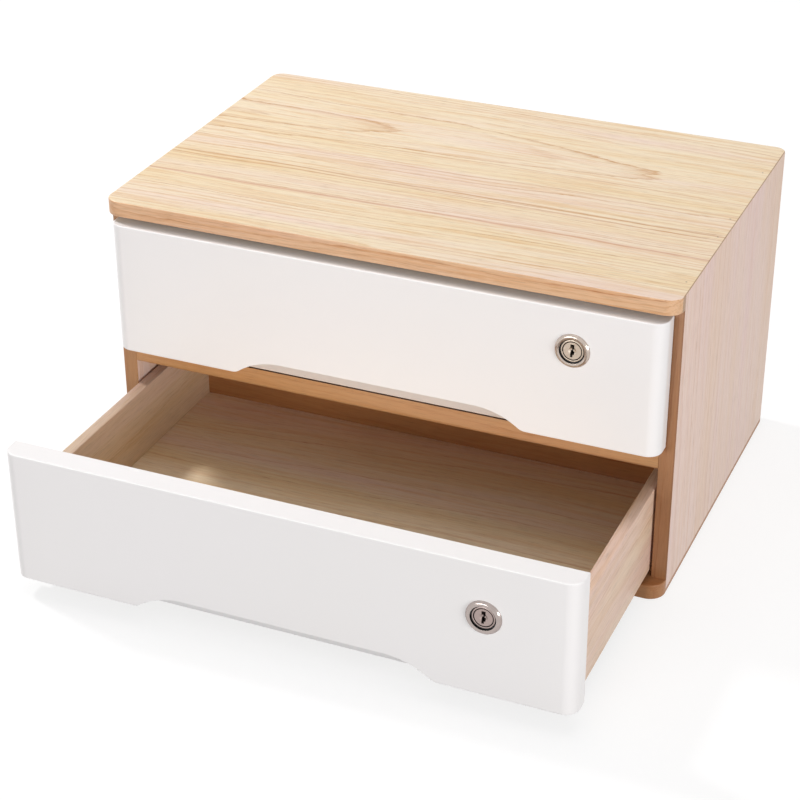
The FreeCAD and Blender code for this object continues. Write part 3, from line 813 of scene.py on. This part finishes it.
# ---- Operators ----
class CABINET_OT_carcass(bpy.types.Operator):
    """Build the top, bottom and side boards and the rail, and finish the rear panel, divider and strips"""
    bl_idname = "cabinet.carcass"
    bl_label = "Carcass"

    def execute(self, context):
        c = context.scene.cabinet_colours
        pins = [(0.185, y, 0.207) for y in (-0.1027, -0.0351, -0.0064, 0.0729)]
        grain = [(-58.0, 8.0, "#F2DACB", 0.35), (-69.5, 0.9, "#D29A78", 0.8), (-35.0, 0.8, "#C68A50", 0.7),
                 (-39.5, 0.6, "#CC9157", 0.65), (-5.0, 0.6, "#CE965E", 0.5), (18.0, 0.6, "#CE965E", 0.5)]
        mitre = ("x", 0.1892, 0.1908)
        side = {"cast": "#F4ECFF", "line": 0.6, "wander": 3.0, "ring_mm": 3.2, "bands": 0.55}
        edge = (20.0, -30.0)
        top = paulownia("paulownia_top", "x", (48.0, -56.0), shift=(0.05, 0.0, -0.207), tilt=(0.0, 0.034),
                        ring_mm=3.6, wander=6.0, line=1.5, streaks=grain, marks=pins, seams=[(*mitre, c.glue)])
        left = paulownia("paulownia_left", "z", (60.0, 30.0), shift=(0.0, 0.07, 0.1), **side)
        right = paulownia("paulownia_right", "z", (-160.0, 40.0), shift=(0.4, 0.0, 0.0), **side)
        lipping = paulownia("paulownia_edge", "x", edge, shift=(0.7, 0.0, 0.0), ring_mm=3.0, cast="#EBD0BF",
                            line=1.3)
        upright = paulownia("paulownia_upright_edge", "z", (-20.0, -30.0), shift=(0.7, 0.0, 0.0), ring_mm=3.0,
                            cast="#B08C69", line=0.7, seams=[(*mitre, c.glue_edge)])
        rail = paulownia("paulownia_rail", "x", edge, shift=(0.9, 0.0, 0.0), ring_mm=3.5, cast="#C6A383")
        base = paulownia("paulownia_base", "x", edge, shift=(1.3, 0.0, 0.0), ring_mm=3.5, cast="#B48A69")
        # near-black wood for the rail's step behind the upper front: painted shade in the gap
        painted_gap_shade = paulownia("paulownia_stained_step", "x", edge, cast="#5E3F2D")
        plain = paulownia("paulownia_divider", "x", (10.0, -90.0), shift=(1.1, 0.0, 0.0), cast="#D8B48C",
                          cast_share=0.9)
        back = paulownia("paulownia_back", "x", (15.0, 150.0), shift=(1.7, 0.0, 0.0), ring_mm=9.0,
                         cast="#D8B48C", cast_share=0.8)
        board = mortised(capped_board("top_board", "top_panel", False), "upper_lock_bolt", "upper_drawer_slide")
        set_up(board, top, "cabinet", ["top_panel"])
        second_finish(board, lipping, looks_forward(board))
        board = capped_board("bottom_board", "bottom_panel", True)
        set_up(board, base, "cabinet", ["bottom_panel"])
        for name, wood in (("left", left), ("right", right)):
            board = side_board(name + "_board", name + "_side_panel")
            set_up(board, wood, "cabinet", [name + "_side_panel"])
            second_finish(board, upright, looks_forward(board))
        piece = mortised(divider_rail(), "lower_lock_bolt", "lower_drawer_slide")
        set_up(piece, rail, "cabinet", ["divider_rail"])
        # the step's faces take the near-black wood, painted shade in the gap
        at, (step_y, step_z) = face_values(piece, "center"), rail_step()
        second_finish(piece, painted_gap_shade, (at[:, 1] < step_y + SHARP) & (at[:, 2] > step_z - NEAR))
        paint_node("divider_shelf", plain)
        paint_node("runner_strips", plain)
        paint_node("back_panel", back)
        return {"FINISHED"}


class CABINET_OT_drawers(bpy.types.Operator):
    """Build the lacquered fronts and the boxes of both drawers"""
    bl_idname = "cabinet.drawers"
    bl_label = "Drawers"

    def execute(self, context):
        white = white_lacquer()
        dowel = paulownia("beech_dowel", "y", (30.0, 30.0), ring_mm=3.0, cast="#DDBB93")
        for index, name in enumerate(DRAWERS):
            body = name + "_drawer"
            offset = 0.9 * index  # the two boxes are of different wood
            front = drawer_front(name + "_front", body + "_front", lock_centre(name))
            set_up(front, white, body, [body + "_front"])
            # the left sides' darker cast is painted shade on their inner faces, which lie in shade; the right
            # sides' cast is the wood's tone
            for side, across, cast in (("left", 95.0, "#D9CFCC"), ("right", -80.0, "#EEE5E5")):
                wood = paulownia(f"paulownia_{name}_{side}", "y", (across, 20.0), shift=(offset, 0.0, 0.0),
                                 cast=cast, line=0.7)
                piece = grooved_side(f"{name}_{side}", f"{body}_{side}_side")
                set_up(piece, wood, body, [f"{body}_{side}_side"])
            # the back's dark cast is painted shade inside the drawer
            wood = paulownia(f"paulownia_{name}_back", "x", (20.0, 90.0), shift=(offset + 0.3, 0.0, 0.0),
                             cast="#BE9470")
            set_up(grooved_back(name + "_back", body + "_back"), wood, body, [body + "_back"])
            wood = paulownia(f"paulownia_{name}_floor", "x", (60.0, -70.0), shift=(offset + 0.55, 0.0, 0.0),
                             line=0.9, tilt=(0.0, 0.05))
            paint_node(body + "_floor", wood)
            paint_node(body + "_dowels", dowel)
        return {"FINISHED"}


class CABINET_OT_locks(bpy.types.Operator):
    """Build the escutcheons and plugs, and finish the cases, bolts and screws"""
    bl_idname = "cabinet.locks"
    bl_label = "Locks"

    def execute(self, context):
        c = context.scene.cabinet_colours
        case = cast_metal("diecast_zinc", c.zinc, 0.5, 0.5, 0.00004)
        # dark metal painted as the shade in the lock's hollows
        dark = cast_metal("blackened_brass", c.dark, 0.6, 0.3, 0.00002)
        steel = cast_metal("zinc_plated_steel", c.steel, 0.32, 0.3, 0.00001)
        for name in DRAWERS:
            centre = lock_centre(name)
            # the lower lock takes the darker tones, painted shade on the same metals as the upper lock
            ring_tone, plug_tone = (c.nickel, c.satin) if name == "upper" else (c.nickel_painted_shade, c.satin_painted_shade)
            polished = turned_metal(f"polished_nickel_{name}", ring_tone, 0.16, centre)
            satin = turned_metal(f"satin_nickel_{name}", plug_tone, 0.42, centre, 0.25, 0.25)
            body = name + "_drawer"
            ring = escutcheon(name + "_ring", centre)
            set_up(ring, polished, body, [name + "_lock_escutcheon"])
            # the bore's faces take the dark metal, painted shade
            second_finish(ring, dark, ring_of_faces(ring, centre, BORE_FACES))
            plug = lock_plug(name + "_plug", name + "_lock_plug", centre)
            set_up(plug, satin, name + "_lock_plug", [name + "_lock_plug"])
            # the gap, the groove and the keyway's walls take the dark metal, painted shade
            second_finish(plug, dark, ring_of_faces(plug, centre, GAP_FACES)
                          | ring_of_faces(plug, centre, GROOVE_FACES) | keyway_walls(plug, centre))
            pin = crank_pin(name + "_crank_pin", name + "_lock_plug", centre)
            set_up(pin, satin, name + "_lock_plug")
            paint_node(name + "_lock_case", case)
            for part in ("cover", "screws", "bolt"):
                paint_node(f"{name}_lock_{part}", steel)
        return {"FINISHED"}


class CABINET_OT_stage(bpy.types.Operator):
    """Set the floor, the lamps and the camera"""
    bl_idname = "cabinet.stage"
    bl_label = "Stage"

    def execute(self, context):
        scene = context.scene
        scene.view_settings.view_transform = "Standard"
        floor = bpy.data.meshes.new("floor")
        r, z = FLOOR_REACH, -FLOOR_DROP
        floor.from_pydata([(-r, -r, z), (r, -r, z), (r, r, z), (-r, r, z)], [], [(0, 1, 2, 3)])
        ground = bpy.data.objects.new("floor", floor)
        scene.collection.objects.link(ground)
        floor.materials.append(studio_floor())
        studio_world(scene)
        for settings in LAMPS:
            lamp(scene, *settings)
        eye = bpy.data.cameras.new("camera")
        eye.lens, eye.sensor_width, eye.clip_end = CAMERA_LENS, CAMERA_SENSOR, CAMERA_FAR
        camera = bpy.data.objects.new("camera", eye)
        scene.collection.objects.link(camera)
        spot, aim = Vector(CAMERA_PLACE), Vector(CAMERA_AIM)
        turn = (aim - spot).to_track_quat("-Z", "Y").to_matrix().to_4x4()
        roll = Matrix.Rotation(math.radians(CAMERA_ROLL), 4, "Z")
        camera.matrix_world = Matrix.Translation(spot) @ turn @ roll
        scene.camera = camera
        return {"FINISHED"}


def seen_rays(tree):
    """1 for a ray from the camera, a reflection or glass, and 0 for a ray that lights the cabinet."""
    path = add(tree, "ShaderNodeLightPath").outputs
    seen = math_node(tree, "MAXIMUM", path["Is Camera Ray"], path["Is Glossy Ray"])
    return math_node(tree, "MAXIMUM", seen, path["Is Transmission Ray"])


def studio_floor():
    """Matt white paper sweep. Seen directly or in a reflection it is lifted to the backdrop's white, and it
    keeps the cabinet's shadow."""
    c = bpy.context.scene.cabinet_colours
    material, tree = new_material("white_paper_sweep")
    tooth = bumped(tree, noise(tree, on_piece(tree), 900.0), 0.1, 0.0001)
    paper = add(tree, "ShaderNodeBsdfDiffuse", {"Color": linear(c.paper), "Normal": tooth})
    glow = math_node(tree, "MULTIPLY", seen_rays(tree), FLOOR_LIFT)
    glow = add(tree, "ShaderNodeEmission", {"Color": linear(c.backdrop), "Strength": glow})
    both = add(tree, "ShaderNodeAddShader", {0: paper.outputs["BSDF"], 1: glow.outputs["Emission"]})
    add(tree, "ShaderNodeOutputMaterial", {"Surface": both.outputs["Shader"]})
    return material


def studio_world(scene):
    """Even soft room light, white where it is seen directly or in a reflection."""
    world = bpy.data.worlds.new("studio")
    scene.world = world
    world.use_nodes = True
    tree = world.node_tree
    tree.nodes.clear()
    level = add(tree, "ShaderNodeMapRange", {"Value": seen_rays(tree), "To Min": ROOM_LIGHT, "To Max": 1.0})
    sky = add(tree, "ShaderNodeBackground", {"Color": linear("#FFFFFF"), "Strength": level.outputs["Result"]})
    add(tree, "ShaderNodeOutputWorld", {"Surface": sky.outputs["Background"]})


def lamp(scene, name, place, aim, size, power):
    """Soft box, a rectangle of width and height."""
    light = bpy.data.lights.new(name, "AREA")
    light.shape, light.size, light.size_y, light.energy = "RECTANGLE", size[0], size[1], power
    box = bpy.data.objects.new(name, light)
    scene.collection.objects.link(box)
    box.location = place
    box.rotation_euler = (Vector(aim) - Vector(place)).to_track_quat("-Z", "Y").to_euler()


class CABINET_PT_panel(bpy.types.Panel):
    """The cabinet's sizes, colours and build steps"""
    bl_idname = "CABINET_PT_panel"
    bl_label = "Desktop file cabinet"
    bl_space_type = "VIEW_3D"
    bl_region_type = "UI"
    bl_category = "Cabinet"

    def draw(self, context):
        for group in (context.scene.cabinet_sizes, context.scene.cabinet_colours):
            for key in group.bl_rna.properties.keys():
                if key not in ("rna_type", "name"):
                    self.layout.prop(group, key)
        for step in STEPS:
            self.layout.operator(step.bl_idname)


STEPS = (CABINET_OT_carcass, CABINET_OT_drawers, CABINET_OT_locks, CABINET_OT_stage)
CLASSES = (CabinetSizes, CabinetColours, *STEPS, CABINET_PT_panel)


def register():
    for kind in CLASSES:
        bpy.utils.register_class(kind)
    bpy.types.Scene.cabinet_sizes = bpy.props.PointerProperty(type=CabinetSizes)
    bpy.types.Scene.cabinet_colours = bpy.props.PointerProperty(type=CabinetColours)


def unregister():
    del bpy.types.Scene.cabinet_colours
    del bpy.types.Scene.cabinet_sizes
    for kind in reversed(CLASSES):
        bpy.utils.unregister_class(kind)


def main():
    register()
    bpy.ops.cabinet.carcass()
    bpy.ops.cabinet.drawers()
    bpy.ops.cabinet.locks()
    bpy.ops.cabinet.stage()


if __name__ == "__main__":
    main()
